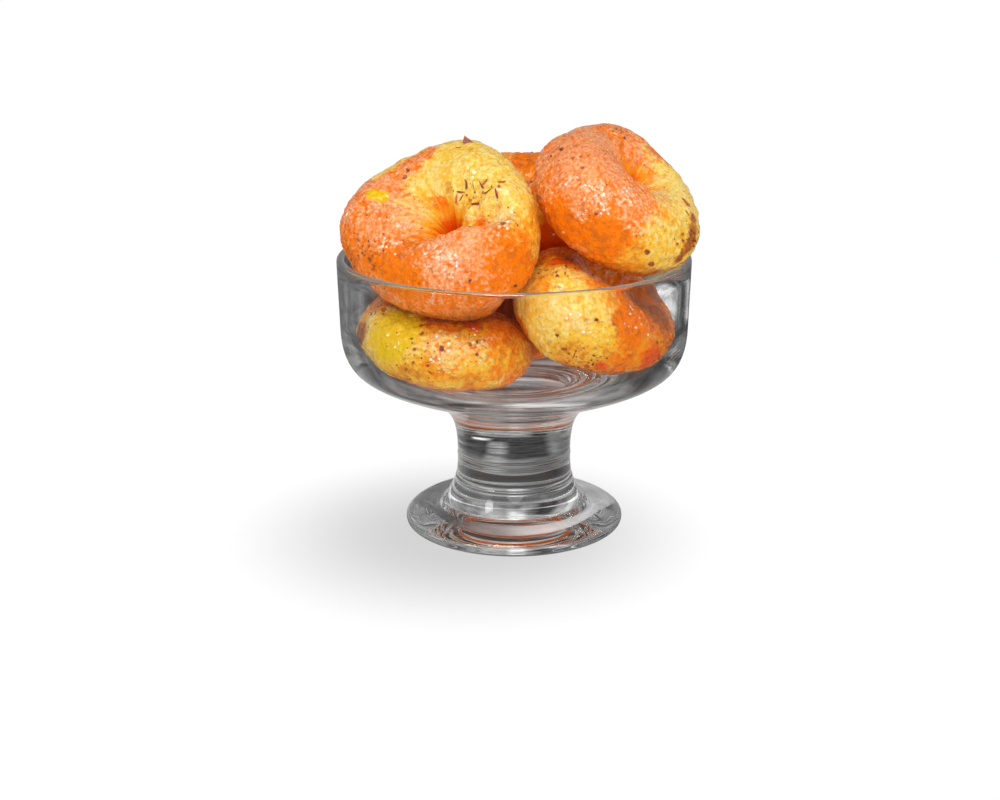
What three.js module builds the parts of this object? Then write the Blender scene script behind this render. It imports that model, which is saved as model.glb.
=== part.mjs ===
// A footed clear glass dish heaped with six puffed candy rings.
// Millimetres, +Z up. The dish stands on z = 0 with its axis on the Z axis, and its front looks along -Y.
import * as THREE from 'three';

// The glass dish
const DISH_HEIGHT = 76.0;
const RIM_RADIUS = 47.5;
const WALL_RADIUS = 47.0; // outside of the upright wall, where the underside runs into it
const WALL = 2.3;
const RIM_BEAD = 1.2; // half the thickness of the rounded rim
const WALL_FOOT = 57.0; // height where the wall turns upright
const CORNER_RADIUS = 41.9; // outside of the rounded lower corner
const CORNER_HEIGHT = 44.3;
const UNDER_RADIUS = 26.7; // underside between the stem and the corner
const UNDER_HEIGHT = 37.6;
const STEM_RADIUS = 15.6;
const STEM_WAIST = 18.6; // height of the thinnest place
const STEM_TOP_RADIUS = 18.1;
const STEM_TOP = 32.1;
const FLARE_RADIUS = 19.9; // ring-shaped step where the stem flares out of the foot
const FLARE_HEIGHT = 6.7;
const FOOT_RADIUS = 30.1;
const FOOT_MIDDLE = 2.0; // height of the foot's widest place
const FOOT_TOP_RADIUS = 26.4;
const FOOT_TOP = 5.1;
const REST_OUTER = 27.3; // flat ring that the dish stands on
const REST_INNER = 21.5;
const HOLLOW_DEPTH = 1.4; // shallow hollow under the foot
const FLOOR_HEIGHT = 40.4; // inside floor on the axis
const FLOOR_EDGE_RADIUS = 25.1;
const FLOOR_EDGE_HEIGHT = 41.5;
const INNER_CORNER_RADIUS = 40.3;
const INNER_CORNER_HEIGHT = 46.9;
const ROUND_THE_DISH = 40;
const PER_CURVE = 3;

// What all rings share
const HOLE_RADIUS = 1.5; // the puffed dough has closed to this small hole
const DENT = 0.2; // depth of the shallow dents all over
const CREASE = 0.5; // pleats that run into the hole
const CREASES = 9;
const ROUND_THE_RING = 34;
const ROUND_THE_TUBE = 16;

// Each ring: its centre, how far its axis leans from upright and to which heading, the radius of its middle
// circle and of its tube, swells and oval as [turns, share, angle] and its out-of-plane warp as
// [height, angle]. Angles are in degrees; around a ring they start on its downhill side. Bulges and dips
// are [direction from the centre, reach, height].
const RINGS = [
  {
    name: 'ring_top_left',
    centre: [-18.0, -13.9, 84.8],
    lean: 41,
    heading: -121,
    radius: 14.5,
    tube: 11.9,
    swells: [[2, 0.07, 75], [3, 0.09, 50]],
    oval: [2, 0.07, 67],
    warp: [0.3, -28],
    bulges: [
      [[-0.98, -0.02, 0.15], 11, 1.4],
      [[-0.9, 0.18, 0.4], 11, 1.3],
      [[-0.7, 0.35, 0.62], 11, 1.2],
      [[-0.42, 0.47, 0.78], 9, 0.5],
      [[0, 0.5, 0.87], 12, 0.9],
      [[0.35, 0.42, 0.84], 12, 1.4],
    ],
    colour: 0xf29a55,
  },
  {
    name: 'ring_top_right',
    centre: [27.2, -6.6, 91.7],
    lean: 39,
    heading: -26,
    radius: 13.1,
    tube: 11.4,
    swells: [[2, 0.04, -78], [3, 0.02, 6]],
    oval: [2, 0.04, 90],
    warp: [0.3, -5],
    bulges: [
      [[-0.52, 0.15, 0.84], 11, -1.7],
      [[-0.86, -0.05, 0.5], 8, 1.4],
      [[0.05, 0.45, 0.9], 8, 1.2],
      [[0.91, -0.22, -0.36], 6, 1.2],
    ],
    colour: 0xf08a50,
  },
  {
    name: 'ring_top_back',
    centre: [1.7, 25.7, 84.5],
    lean: 10,
    heading: -67,
    radius: 13.1,
    tube: 11.2,
    swells: [[2, 0.03, 80], [3, 0.03, -1]],
    oval: [2, 0.01, 59],
    warp: [0.2, 52],
    bulges: [],
    colour: 0xee7d2b,
  },
  {
    name: 'ring_low_left',
    centre: [-18.3, -12.7, 53.6],
    lean: 13,
    heading: 26,
    radius: 12.4,
    tube: 10.3,
    swells: [[2, 0.06, -55], [3, 0.03, -2]],
    oval: [2, 0.05, -56],
    warp: [0.7, -34],
    bulges: [],
    colour: 0xe8a84e,
  },
  {
    name: 'ring_low_right',
    centre: [20.7, -9.9, 62.0],
    lean: 30,
    heading: -10,
    radius: 12.9,
    tube: 11.3,
    swells: [[2, 0.08, 78], [3, 0.03, 12]],
    oval: [2, 0.06, 79],
    warp: [0.2, 14],
    bulges: [],
    colour: 0xed9a45,
  },
  {
    name: 'ring_low_back',
    centre: [-1.6, 25.4, 57.8],
    lean: 36,
    heading: -82,
    radius: 12.4,
    tube: 10.6,
    swells: [[2, 0.07, 82], [3, 0.01, -1]],
    oval: [2, 0.05, 79],
    warp: [0.2, 10],
    bulges: [],
    colour: 0xe27a30,
  },
];

// Outline of the dish as (radius, height), from the middle of the foot round the outside and back down
// the inside to the middle of the floor.
function dishOutline() {
  const outline = new THREE.Path();
  outline.moveTo(0, HOLLOW_DEPTH);
  outline.quadraticCurveTo(0.7 * REST_INNER, HOLLOW_DEPTH, REST_INNER, 0);
  outline.lineTo(REST_OUTER, 0);
  outline.bezierCurveTo(REST_OUTER + 2, 0, FOOT_RADIUS, FOOT_MIDDLE - 1.2, FOOT_RADIUS, FOOT_MIDDLE);
  outline.bezierCurveTo(FOOT_RADIUS, FOOT_MIDDLE + 1.4, FOOT_TOP_RADIUS + 2, FOOT_TOP - 0.8,
    FOOT_TOP_RADIUS, FOOT_TOP);
  outline.lineTo(FLARE_RADIUS, FLARE_HEIGHT);
  outline.bezierCurveTo(FLARE_RADIUS - 2.3, FLARE_HEIGHT + 3, STEM_RADIUS, STEM_WAIST - 5,
    STEM_RADIUS, STEM_WAIST);
  outline.bezierCurveTo(STEM_RADIUS, STEM_WAIST + 5.5, STEM_RADIUS + 0.4, STEM_TOP - 2.6,
    STEM_TOP_RADIUS, STEM_TOP);
  outline.bezierCurveTo(STEM_TOP_RADIUS + 1.5, STEM_TOP + 2.3, UNDER_RADIUS - 4.2, UNDER_HEIGHT - 1.7,
    UNDER_RADIUS, UNDER_HEIGHT);
  outline.bezierCurveTo(UNDER_RADIUS + 6.3, UNDER_HEIGHT + 2.6, CORNER_RADIUS - 3.5, CORNER_HEIGHT - 2.4,
    CORNER_RADIUS, CORNER_HEIGHT);
  outline.bezierCurveTo(CORNER_RADIUS + 3.1, CORNER_HEIGHT + 2.1, WALL_RADIUS - 0.1, WALL_FOOT - 7,
    WALL_RADIUS, WALL_FOOT);
  outline.lineTo(RIM_RADIUS, DISH_HEIGHT - RIM_BEAD);
  outline.absarc(RIM_RADIUS - RIM_BEAD, DISH_HEIGHT - RIM_BEAD, RIM_BEAD, 0, Math.PI, false);
  outline.lineTo(WALL_RADIUS - WALL, WALL_FOOT + 3);
  outline.bezierCurveTo(WALL_RADIUS - WALL - 0.1, WALL_FOOT - 3, INNER_CORNER_RADIUS + 3.1,
    INNER_CORNER_HEIGHT + 2.9, INNER_CORNER_RADIUS, INNER_CORNER_HEIGHT);
  outline.bezierCurveTo(INNER_CORNER_RADIUS - 3.3, INNER_CORNER_HEIGHT - 2.8, FLOOR_EDGE_RADIUS + 6,
    FLOOR_EDGE_HEIGHT + 1.4, FLOOR_EDGE_RADIUS, FLOOR_EDGE_HEIGHT);
  outline.quadraticCurveTo(0.5 * FLOOR_EDGE_RADIUS, FLOOR_HEIGHT, 0, FLOOR_HEIGHT);
  return outline.getPoints(PER_CURVE);
}

function glassDish() {
  const shape = new THREE.LatheGeometry(dishOutline(), ROUND_THE_DISH);
  shape.rotateX(Math.PI / 2);
  const glass = new THREE.MeshStandardMaterial({ color: 0xdfe3e2, roughness: 0.04, metalness: 0 });
  const dish = new THREE.Mesh(shape, glass);
  dish.name = 'glass_dish';
  return dish;
}

// A wave round the ring: its share of the whole, with its crest at the angle.
function wave([turns, share, angle], around) {
  return share * Math.cos(turns * (around - THREE.MathUtils.degToRad(angle)));
}

// Moves every point of an even torus to where the puffed, uneven ring has it.
function puff(shape, ring) {
  const points = shape.attributes.position;
  for (let i = 0; i < points.count; i += 1) {
    const x = points.getX(i);
    const y = points.getY(i);
    const around = Math.atan2(y, x);
    const tubeAngle = Math.atan2(points.getZ(i), Math.hypot(x, y) - ring.radius);
    const middle = ring.radius * (1 + wave(ring.oval, around));
    const swell = ring.swells.reduce((sum, one) => sum + wave(one, around), 1);
    const towardHole = Math.max(0, -Math.cos(tubeAngle));
    let tube = ring.tube * swell;
    tube += (middle - HOLE_RADIUS - tube) * towardHole ** 4;
    tube -= DENT * (0.5 + 0.5 * Math.sin(5 * around + ring.heading) * Math.cos(3 * tubeAngle + around));
    tube -= CREASE * 4 * towardHole ** 2 * (1 - towardHole ** 2) * (0.5 + 0.5 * Math.cos(CREASES * around));
    const out = middle + tube * Math.cos(tubeAngle);
    const height = wave([2, ...ring.warp], around) + tube * Math.sin(tubeAngle);
    points.setXYZ(i, out * Math.cos(around), out * Math.sin(around), height);
  }
  return shape;
}

// Pushes the ring's outside out, or in where the height is under 0, around each direction.
function bulge(shape, ring, turned) {
  const points = shape.attributes.position;
  const spots = ring.bulges.map(([direction, reach, height]) => ({
    out: new THREE.Vector3(...direction).normalize().applyQuaternion(turned.clone().invert()),
    reach,
    height,
  }));
  for (let i = 0; i < points.count; i += 1) {
    const point = new THREE.Vector3().fromBufferAttribute(points, i);
    const moved = point.clone();
    spots.forEach(({ out, reach, height }) => {
      const along = point.dot(out);
      const aside = point.clone().addScaledVector(out, -along).length();
      const share = Math.max(0, 1 - (aside / reach) ** 2) ** 2;
      const outside = THREE.MathUtils.clamp(along / (ring.radius + ring.tube), 0, 1) ** 2;
      moved.addScaledVector(out, share * outside * height);
    });
    points.setXYZ(i, moved.x, moved.y, moved.z);
  }
  shape.computeVertexNormals();
  return shape;
}

function candyRing(ring) {
  const even = new THREE.TorusGeometry(ring.radius, ring.tube, ROUND_THE_TUBE, ROUND_THE_RING);
  const candy = new THREE.MeshStandardMaterial({ color: ring.colour, roughness: 0.4, metalness: 0 });
  const lean = THREE.MathUtils.degToRad(ring.lean);
  const heading = THREE.MathUtils.degToRad(ring.heading);
  const turned = new THREE.Quaternion().setFromEuler(new THREE.Euler(0, lean, heading, 'ZYX'));
  const mesh = new THREE.Mesh(bulge(puff(even, ring), ring, turned), candy);
  mesh.name = ring.name;
  mesh.position.set(...ring.centre);
  mesh.quaternion.copy(turned);
  return mesh;
}

const sweetDish = new THREE.Group();
sweetDish.add(glassDish());
RINGS.forEach((ring) => sweetDish.add(candyRing(ring)));

export default sweetDish;
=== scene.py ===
"""Looks of a footed glass dish heaped with puffed candy rings, laid out as a Blender add-on."""

import math
import random
from collections import namedtuple
from itertools import product

import bmesh
import bpy
import numpy as np
from bpy.props import FloatProperty, FloatVectorProperty, IntProperty, PointerProperty
from mathutils import Matrix, Vector
from mathutils.geometry import interpolate_bezier


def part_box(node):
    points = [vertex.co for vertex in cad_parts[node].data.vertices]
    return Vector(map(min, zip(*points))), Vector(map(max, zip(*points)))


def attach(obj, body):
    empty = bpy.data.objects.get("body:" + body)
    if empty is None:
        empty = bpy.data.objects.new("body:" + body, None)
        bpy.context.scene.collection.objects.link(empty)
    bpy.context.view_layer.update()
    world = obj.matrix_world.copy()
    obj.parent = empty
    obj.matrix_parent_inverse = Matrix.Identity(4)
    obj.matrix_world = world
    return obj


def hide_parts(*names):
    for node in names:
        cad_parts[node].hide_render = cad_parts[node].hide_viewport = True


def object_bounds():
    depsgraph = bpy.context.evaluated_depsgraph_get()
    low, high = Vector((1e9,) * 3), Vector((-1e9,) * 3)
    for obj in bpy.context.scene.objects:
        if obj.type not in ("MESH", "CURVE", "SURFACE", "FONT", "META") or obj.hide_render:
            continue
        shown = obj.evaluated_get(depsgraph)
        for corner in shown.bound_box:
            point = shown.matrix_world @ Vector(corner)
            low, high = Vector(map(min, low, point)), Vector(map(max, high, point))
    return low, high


bl_info = {
    "name": "Candy Ring Dish",
    "version": (1, 0, 0),
    "blender": (4, 5, 0),
    "location": "3D View > Sidebar > Candy Dish",
    "description": "Builds a footed glass dish heaped with puffed candy rings around its solids",
    "category": "Add Mesh",
}

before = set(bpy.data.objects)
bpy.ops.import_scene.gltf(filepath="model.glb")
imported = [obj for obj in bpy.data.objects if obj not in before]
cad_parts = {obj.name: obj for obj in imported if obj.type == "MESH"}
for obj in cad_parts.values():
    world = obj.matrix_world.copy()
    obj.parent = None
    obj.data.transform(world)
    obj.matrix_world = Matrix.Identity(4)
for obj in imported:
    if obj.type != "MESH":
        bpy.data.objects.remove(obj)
CAD_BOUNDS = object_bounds()
DISH_NODE = "glass_dish"
DISH_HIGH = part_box(DISH_NODE)[1]
MM = 0.001

# Directions are taken from the middle of a ring: x to the right, y to the back, z up.
# light_side points from the orange part of the ring to its yellow part, and light_edge moves the border.
# frosting is how pale the crust is, from 0 to 1, and hole_shift moves the hole, in mm.
# patches and flakes are groups of marks of one kind. A mark is its direction and its size in mm, which is
# the radius of a patch or the length of a flake. A patch's kind is a key of COLOURINGS or of LIFTS, or
# it is clear, toast, heart or shine, fields of the crust. Toast patches paint toasting together with
# painted shade, heart patches away from a hole paint deep orange shade, and shine patches mark where
# white glints are painted. A flake's kind is chip, sliver or standing.
# A cluster of small flakes is (direction, spread in mm, number of flakes).
Ring = namedtuple(
    "Ring",
    "node slot light_side light_edge frosting patches clusters flakes hole_shift",
    defaults=((), (0, 0, 0)),
)

RINGS = [
    Ring(
        "ring_top_left",
        "candy_left",
        light_side=(0.39, 0.65, 0.66),
        light_edge=-0.02,
        frosting=0.50,
        hole_shift=(3.5, -4.5, -1.9),
        patches=[
            ("bulge", [(-0.99, -0.05, 0.10, 8.0)]),
            ("dent", [
                (0.22, -0.88, 0.40, 6.0), (0.42, -0.76, 0.48, 6.5), (0.52, -0.76, 0.40, 5.5),
                (0.64, -0.64, 0.42, 4.5),
            ]),
            ("orange", [(0.36, -0.84, 0.40, 4.5)]),
            ("bare", [(0.36, -0.84, 0.40, 3.5)]),
            ("pink", [
                (-0.93, 0.14, 0.36, 8.0), (-0.85, 0.09, 0.52, 6.0), (-0.69, 0.26, 0.68, 4.2),
                (-0.43, 0.39, 0.82, 4.5), (-0.20, 0.42, 0.88, 3.5),
            ]),
            ("orange", [(-0.50, 0.06, 0.86, 3.2), (-0.38, 0.10, 0.92, 2.6)]),
            ("clear", [(-0.89, 0.02, 0.45, 2.0), (-0.87, -0.02, 0.49, 2.0)]),
            ("bare", [
                (-0.95, -0.10, -0.31, 6.0), (-0.71, -0.66, -0.26, 5.0), (-0.44, -0.82, -0.36, 6.0),
                (-0.55, -0.83, 0.03, 3.5), (0.73, -0.66, -0.10, 9.0),
            ]),
            ("amber", [(0.93, -0.34, 0.10, 7.0)]),
            ("frost", [
                (-0.85, -0.35, 0.33, 9.0), (0.10, -0.99, -0.05, 8.0), (0.64, -0.70, 0.33, 4.0),
                (0.00, -0.90, -0.42, 6.0),
            ]),
            ("gloss_and_painted_glint", [
                (0.67, -0.67, 0.32, 3.2), (0.59, -0.78, 0.20, 3.2), (-0.35, -0.94, -0.01, 1.6),
                (-0.07, -0.99, -0.08, 5.0), (0.10, -0.99, -0.14, 4.0), (-0.76, -0.64, -0.13, 4.0),
                (-0.76, -0.66, -0.01, 2.5), (0.68, -0.45, 0.58, 1.8), (0.39, -0.18, 0.90, 1.8),
            ]),
        ],
        flakes=[
            ("chip", [
                (-0.59, 0.27, 0.76, 1.4), (-0.51, 0.33, 0.79, 1.3), (0.63, -0.74, 0.22, 1.3),
                (0.26, -0.92, -0.27, 1.2), (-0.85, -0.47, -0.25, 1.4),
            ]),
            ("sliver", [(-0.80, -0.52, -0.30, 1.6)]),
            ("chip", [(0.64, -0.68, -0.35, 1.3)]),
            ("sliver", [
                (0.17, 0.28, 0.94, 1.4), (0.40, -0.35, 0.85, 2.7), (0.55, -0.42, 0.72, 2.5),
                (0.56, -0.60, 0.57, 2.9), (0.60, -0.50, 0.62, 2.3), (0.68, -0.36, 0.64, 2.2),
                (0.38, -0.50, 0.78, 2.0), (0.48, -0.40, 0.78, 1.7), (0.30, -0.50, 0.81, 2.6),
                (0.57, -0.38, 0.73, 2.2), (0.62, -0.44, 0.65, 2.0), (0.66, -0.50, 0.56, 2.6),
                (0.35, -0.42, 0.84, 2.2),
            ]),
            ("standing", [(0.25, 0.36, 0.90, 3.6)]),
        ],
        clusters=[
            ((0.52, -0.50, 0.69), 4.0, 12),
            ((-0.92, -0.35, -0.10), 7.0, 26),
            ((0.60, -0.74, 0.25), 3.0, 8),
        ],
    ),
    Ring(
        "ring_top_right",
        "candy_right",
        light_side=(0.82, 0.19, -0.53),
        light_edge=0.18,
        frosting=0.50,
        patches=[
            ("toast_and_painted_shade", [
                (0.84, -0.42, -0.34, 4.2), (0.91, -0.36, -0.18, 2.6), (0.76, -0.48, -0.46, 3.6),
                (0.66, -0.54, -0.54, 3.0), (0.95, -0.30, -0.02, 1.6),
            ]),
            ("frost", [(0.95, -0.21, 0.22, 8.0), (0.71, 0.40, 0.58, 6.0)]),
            ("bare", [(-0.68, -0.73, -0.13, 7.0), (-0.23, -0.96, -0.16, 6.0), (-0.02, -0.91, -0.42, 9.0)]),
            ("amber", [(0.10, -0.86, -0.50, 5.0)]),
            ("orange", [(0.66, 0.26, 0.71, 6.0)]),
            ("bare", [(0.66, 0.26, 0.71, 5.0)]),
            ("frost", [(-0.35, -0.88, 0.31, 9.0), (-0.45, -0.40, 0.80, 14.0)]),
            ("gloss_and_painted_glint", [
                (-0.55, -0.77, 0.32, 2.0), (-0.30, -0.93, 0.23, 4.2), (-0.40, -0.92, 0.00, 2.0),
                (-0.49, -0.86, -0.15, 2.0), (-0.20, -0.98, 0.05, 2.0), (0.06, -0.98, 0.19, 3.5),
                (0.12, -0.98, -0.15, 3.0),
            ]),
        ],
        flakes=[
            ("chip", [
                (-0.44, -0.76, 0.48, 1.2), (-0.27, -0.96, 0.04, 1.3), (0.25, -0.89, -0.38, 1.6),
                (0.31, -0.78, -0.54, 2.0), (0.72, -0.62, -0.30, 1.4),
            ]),
            ("sliver", [(0.86, -0.45, -0.10, 1.8)]),
            ("chip", [(0.93, -0.30, 0.05, 1.2)]),
        ],
        clusters=[
            ((0.80, -0.45, -0.38), 5.0, 34),
            ((0.28, -0.10, 0.95), 3.0, 10),
            ((-0.60, -0.50, 0.60), 7.0, 14),
        ],
    ),
    Ring(
        "ring_top_back",
        "candy_back",
        light_side=(-0.60, 0.70, 0.30),
        light_edge=0.65,
        frosting=0.0,
        patches=[
            ("bare", [(0.27, 0.10, 0.95, 12.0)]),
            ("hole_and_painted_shade", [(0.42, -0.87, -0.25, 11.0)]),
        ],
        clusters=[((0.10, -0.60, 0.75), 7.0, 12), ((0.0, 0.8, 0.5), 9.0, 20)],
    ),
    Ring(
        "ring_low_left",
        "candy_low_left",
        light_side=(-0.45, -0.75, -0.35),
        light_edge=0.30,
        frosting=0.36,
        patches=[
            ("clear", [(-0.60, -0.70, 0.38, 7.5)]),
            ("toast_and_painted_shade", [(-0.96, -0.22, 0.20, 5.0), (-0.92, -0.38, -0.12, 4.0), (-0.30, -0.80, -0.55, 6.0)]),
            ("orange", [(0.05, -0.70, 0.70, 8.0), (0.31, -0.82, 0.49, 5.0), (0.75, -0.50, 0.43, 8.0)]),
            ("amber", [
                (0.90, -0.42, 0.05, 8.0), (-0.26, -0.95, -0.15, 6.0), (0.32, -0.90, -0.28, 7.0),
                (-0.50, -0.84, -0.25, 6.0), (0.73, -0.67, 0.08, 5.0),
            ]),
            ("toast_and_painted_shade", [(-0.45, -0.78, -0.42, 4.0)]),
            ("hole_and_painted_shade", [(0.43, -0.74, 0.52, 4.5)]),
            ("tan", [(-0.02, -0.97, 0.24, 6.0), (0.30, -0.90, 0.30, 6.0), (0.10, -0.98, 0.00, 5.0)]),
            ("amber", [(0.10, -0.85, -0.50, 7.0)]),
            ("orange", [(0.35, -0.72, 0.60, 5.0)]),
            ("bare", [(-0.95, -0.25, -0.05, 5.0)]),
            ("toast_and_painted_shade", [(0.35, -0.80, -0.50, 5.0)]),
            ("gloss_and_painted_glint", [
                (-0.57, -0.77, 0.28, 3.0), (-0.02, -0.97, 0.24, 5.0), (0.35, -0.86, 0.37, 5.0),
                (0.64, -0.74, 0.22, 2.5), (0.46, -0.88, 0.09, 2.5),
            ]),
        ],
        flakes=[
            ("chip", [
                (-0.74, -0.34, 0.58, 1.6), (0.02, -0.97, 0.24, 1.7), (0.34, -0.90, 0.27, 1.2),
                (0.40, -0.90, 0.16, 1.1), (-0.24, -0.88, 0.41, 1.3),
            ]),
            ("sliver", [(-0.12, -0.99, -0.06, 1.8)]),
        ],
        clusters=[
            ((-0.80, -0.30, 0.50), 4.0, 14),
            ((-0.20, -0.95, 0.10), 7.0, 24),
            ((0.30, -0.80, 0.50), 7.0, 22),
        ],
    ),
    Ring(
        "ring_low_right",
        "candy_low_right",
        light_side=(-0.50, -0.85, 0.10),
        light_edge=0.60,
        frosting=0.32,
        patches=[
            ("toast_and_painted_shade", [(0.85, 0.10, 0.30, 7.0)]),
            ("hole_and_painted_shade", [
                (0.60, -0.70, -0.35, 6.5), (0.05, -0.92, -0.38, 3.5), (-0.43, -0.47, 0.77, 4.5),
                (0.00, 0.20, 0.96, 6.0),
            ]),
            ("toast_and_painted_shade", [(0.85, -0.45, 0.10, 8.0)]),
            ("bare", [(0.36, -0.93, 0.04, 5.5)]),
            ("pink", [(0.93, -0.12, 0.33, 5.0)]),
            ("orange", [(-0.82, -0.58, 0.00, 4.0), (-0.46, -0.36, 0.80, 5.0)]),
            ("bare", [(-0.40, -0.36, 0.84, 7.0)]),
            ("orange", [
                (-0.18, -0.40, 0.88, 6.0), (0.40, -0.90, 0.15, 5.0), (0.70, -0.66, -0.25, 6.0),
                (0.15, -0.88, -0.42, 6.0), (0.36, -0.93, 0.04, 5.5),
            ]),
            ("toast_and_painted_shade", [(-0.30, -0.35, 0.88, 4.0)]),
            ("amber", [(-0.54, -0.70, 0.46, 4.0), (-0.24, -0.94, -0.25, 7.0)]),
            ("frost", [(-0.25, -0.92, 0.28, 7.0)]),
            ("bare", [(0.35, -0.90, -0.20, 8.0), (0.60, -0.75, -0.10, 8.0)]),
            ("gloss_and_painted_glint", [
                (-0.21, -0.97, 0.12, 4.0), (-0.45, -0.80, 0.40, 4.0), (0.45, -0.87, 0.20, 4.0),
                (0.59, -0.80, -0.04, 3.5), (0.27, -0.96, 0.05, 3.0), (-0.50, -0.74, 0.45, 2.5),
            ]),
        ],
        flakes=[
            ("chip", [
                (-0.41, -0.70, 0.58, 1.4), (-0.02, -0.98, 0.18, 1.2), (0.16, -0.98, 0.13, 1.3),
                (-0.39, -0.92, 0.01, 1.3), (-0.32, -0.94, -0.12, 1.4),
            ]),
            ("sliver", [(-0.23, -0.96, -0.19, 2.2)]),
            ("chip", [(-0.10, -0.92, -0.38, 1.4)]),
        ],
        clusters=[
            ((-0.40, -0.60, 0.66), 5.0, 20),
            ((-0.15, -0.92, -0.30), 6.0, 30),
            ((0.80, -0.55, -0.25), 6.0, 22),
        ],
    ),
    Ring(
        "ring_low_back",
        "candy_low_back",
        light_side=(0.50, 0.80, 0.10),
        light_edge=0.45,
        frosting=0.15,
        patches=[
            ("toast_and_painted_shade", [(0.0, -0.7, 0.6, 14.0), (0.0, -0.9, -0.3, 14.0)]),
        ],
        clusters=[((0.0, 0.9, 0.1), 9.0, 24)],
    ),
]


def marks_of(groups):
    """Every mark of a ring's patches or flakes: its kind, its direction and its size in mm."""
    for kind, marks in groups:
        for *direction, size in marks:
            yield kind, direction, size


# ---------------------------------------------------------------------------------------------
# Settings


def length(name, description, default):
    return FloatProperty(
        name=name, description=description, default=default, subtype="DISTANCE", unit="LENGTH"
    )


def angle(name, description, default):
    return FloatProperty(
        name=name, description=description, default=default, subtype="ANGLE", unit="ROTATION"
    )


def number(name, description, default):
    return FloatProperty(name=name, description=description, default=default)


def count(name, description, default, least=0):
    return IntProperty(name=name, description=description, default=default, min=least)


def shade(name, description, red, green, blue):
    return FloatVectorProperty(
        name=name, description=description, default=(red, green, blue, 1.0), size=4, subtype="COLOR"
    )


class DishSettings(bpy.types.PropertyGroup):
    """Sizes of the glass dish"""

    rim_radius: length("Rim Radius", "Outside radius of the rim", DISH_HIGH.x)
    height: length("Height", "Height of the dish from the table to the rim", DISH_HIGH.z)
    turns: count("Steps Around", "Faces around the dish", 192, least=24)
    curve_steps: count("Steps on a Curve", "Points on each curved stretch of the outline", 9, least=3)
    tint: shade("Glass Tint", "Colour of the glass", 0.985, 0.99, 0.987)


class CandySettings(bpy.types.PropertyGroup):
    """Sizes and colours of the candy rings"""

    grain: length("Grain", "Size of the faces on the crust", 0.336 * MM)
    dent_height: length("Dent Height", "Depth of the broad dents in the rings", 0.45 * MM)
    bubble_size: length("Bubble Size", "Width of the bubbles in the crust", 1.7 * MM)
    bubble_height: length("Bubble Height", "How far the bubbles stand out", 0.42 * MM)
    orange: shade("Orange", "Candy colour of the orange half", 0.93, 0.215, 0.003)
    salmon: shade("Salmon", "Frosted crust over the orange half", 0.90, 0.335, 0.125)
    amber: shade("Amber", "Candy colour of the yellow half", 0.92, 0.52, 0.03)
    cream: shade("Cream Yellow", "Frosted crust over the yellow half", 0.95, 0.70, 0.20)
    # The crystal colour also paints a pale sheen where the crust is glossy.
    crystal: shade("Crystal", "Pale sugar crystals on the crust", 1.0, 0.70, 0.48)
    clear_yellow: shade("Clear Yellow", "Clear candy where the crust is thin", 0.85, 0.55, 0.003)
    # The Heart Orange colour is also painted shade: in the creases and in its patches away from the holes.
    hole_and_painted_shade: shade("Heart Orange", "Deep orange in the closed-up hole", 0.88, 0.11, 0.002)
    # The Toasted Orange and Burnt Brown colours also paint shade on the undersides and shaded edges of the
    # rings.
    toast_and_painted_shade: shade("Toasted Orange", "Browner orange where the crust has toasted", 0.44, 0.105, 0.010)
    rust: shade("Rust Orange", "Red-brown flecks all over the crust", 0.60, 0.135, 0.012)
    burnt_and_painted_shade: shade("Burnt Brown", "Brown where the crust has toasted most", 0.20, 0.045, 0.010)
    # The Glint colour is a painted highlight: white dots laid into the crust's colour.
    painted_glint: shade("Glint", "White sugar grains where the crust shines", 1.0, 0.94, 0.86)
    speck: shade("Speck", "Small brown specks in the crust", 0.36, 0.06, 0.01)


class FlakeSettings(bpy.types.PropertyGroup):
    """Chilli flakes and dust"""

    flakes_each: count("Loose Flakes", "Small flakes strewn over each ring beside its clusters", 60)
    dust_each: count("Dust", "Most grains of chilli dust on each ring beside its clusters", 420)
    red: shade("Flake Red", "Colour of the redder flakes", 0.56, 0.135, 0.022)
    brown: shade("Flake Brown", "Colour of the darker flakes", 0.19, 0.035, 0.008)


class StageSettings(bpy.types.PropertyGroup):
    """Floor, light and camera"""

    lens: number("Lens", "Focal length of the camera in millimetres", 61.2)
    distance: length("Distance", "From the camera to the point that it looks at", 0.468)
    aim_height: length("Aim Height", "Height of the point that the camera looks at", 0.0348)
    pitch: angle("Pitch", "How far the camera looks down", math.radians(16.96))
    pan: angle("Pan", "How far the camera is turned to the left of the dish", math.radians(0.472))
    key_power: number("Key Power", "Watts of the light high in front, which makes the highlights", 2.6)
    fill_power: number("Fill Power", "Watts of the soft light at the right", 1.2)
    side_power: number("Side Power", "Watts of the small light at the front left", 0.8)
    front_power: number("Front Power", "Watts of the soft light low in front", 2.6)
    ambient: number("Ambient", "Strength of the even light from all sides", 0.71)


# ---------------------------------------------------------------------------------------------
# Shader maths


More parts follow.
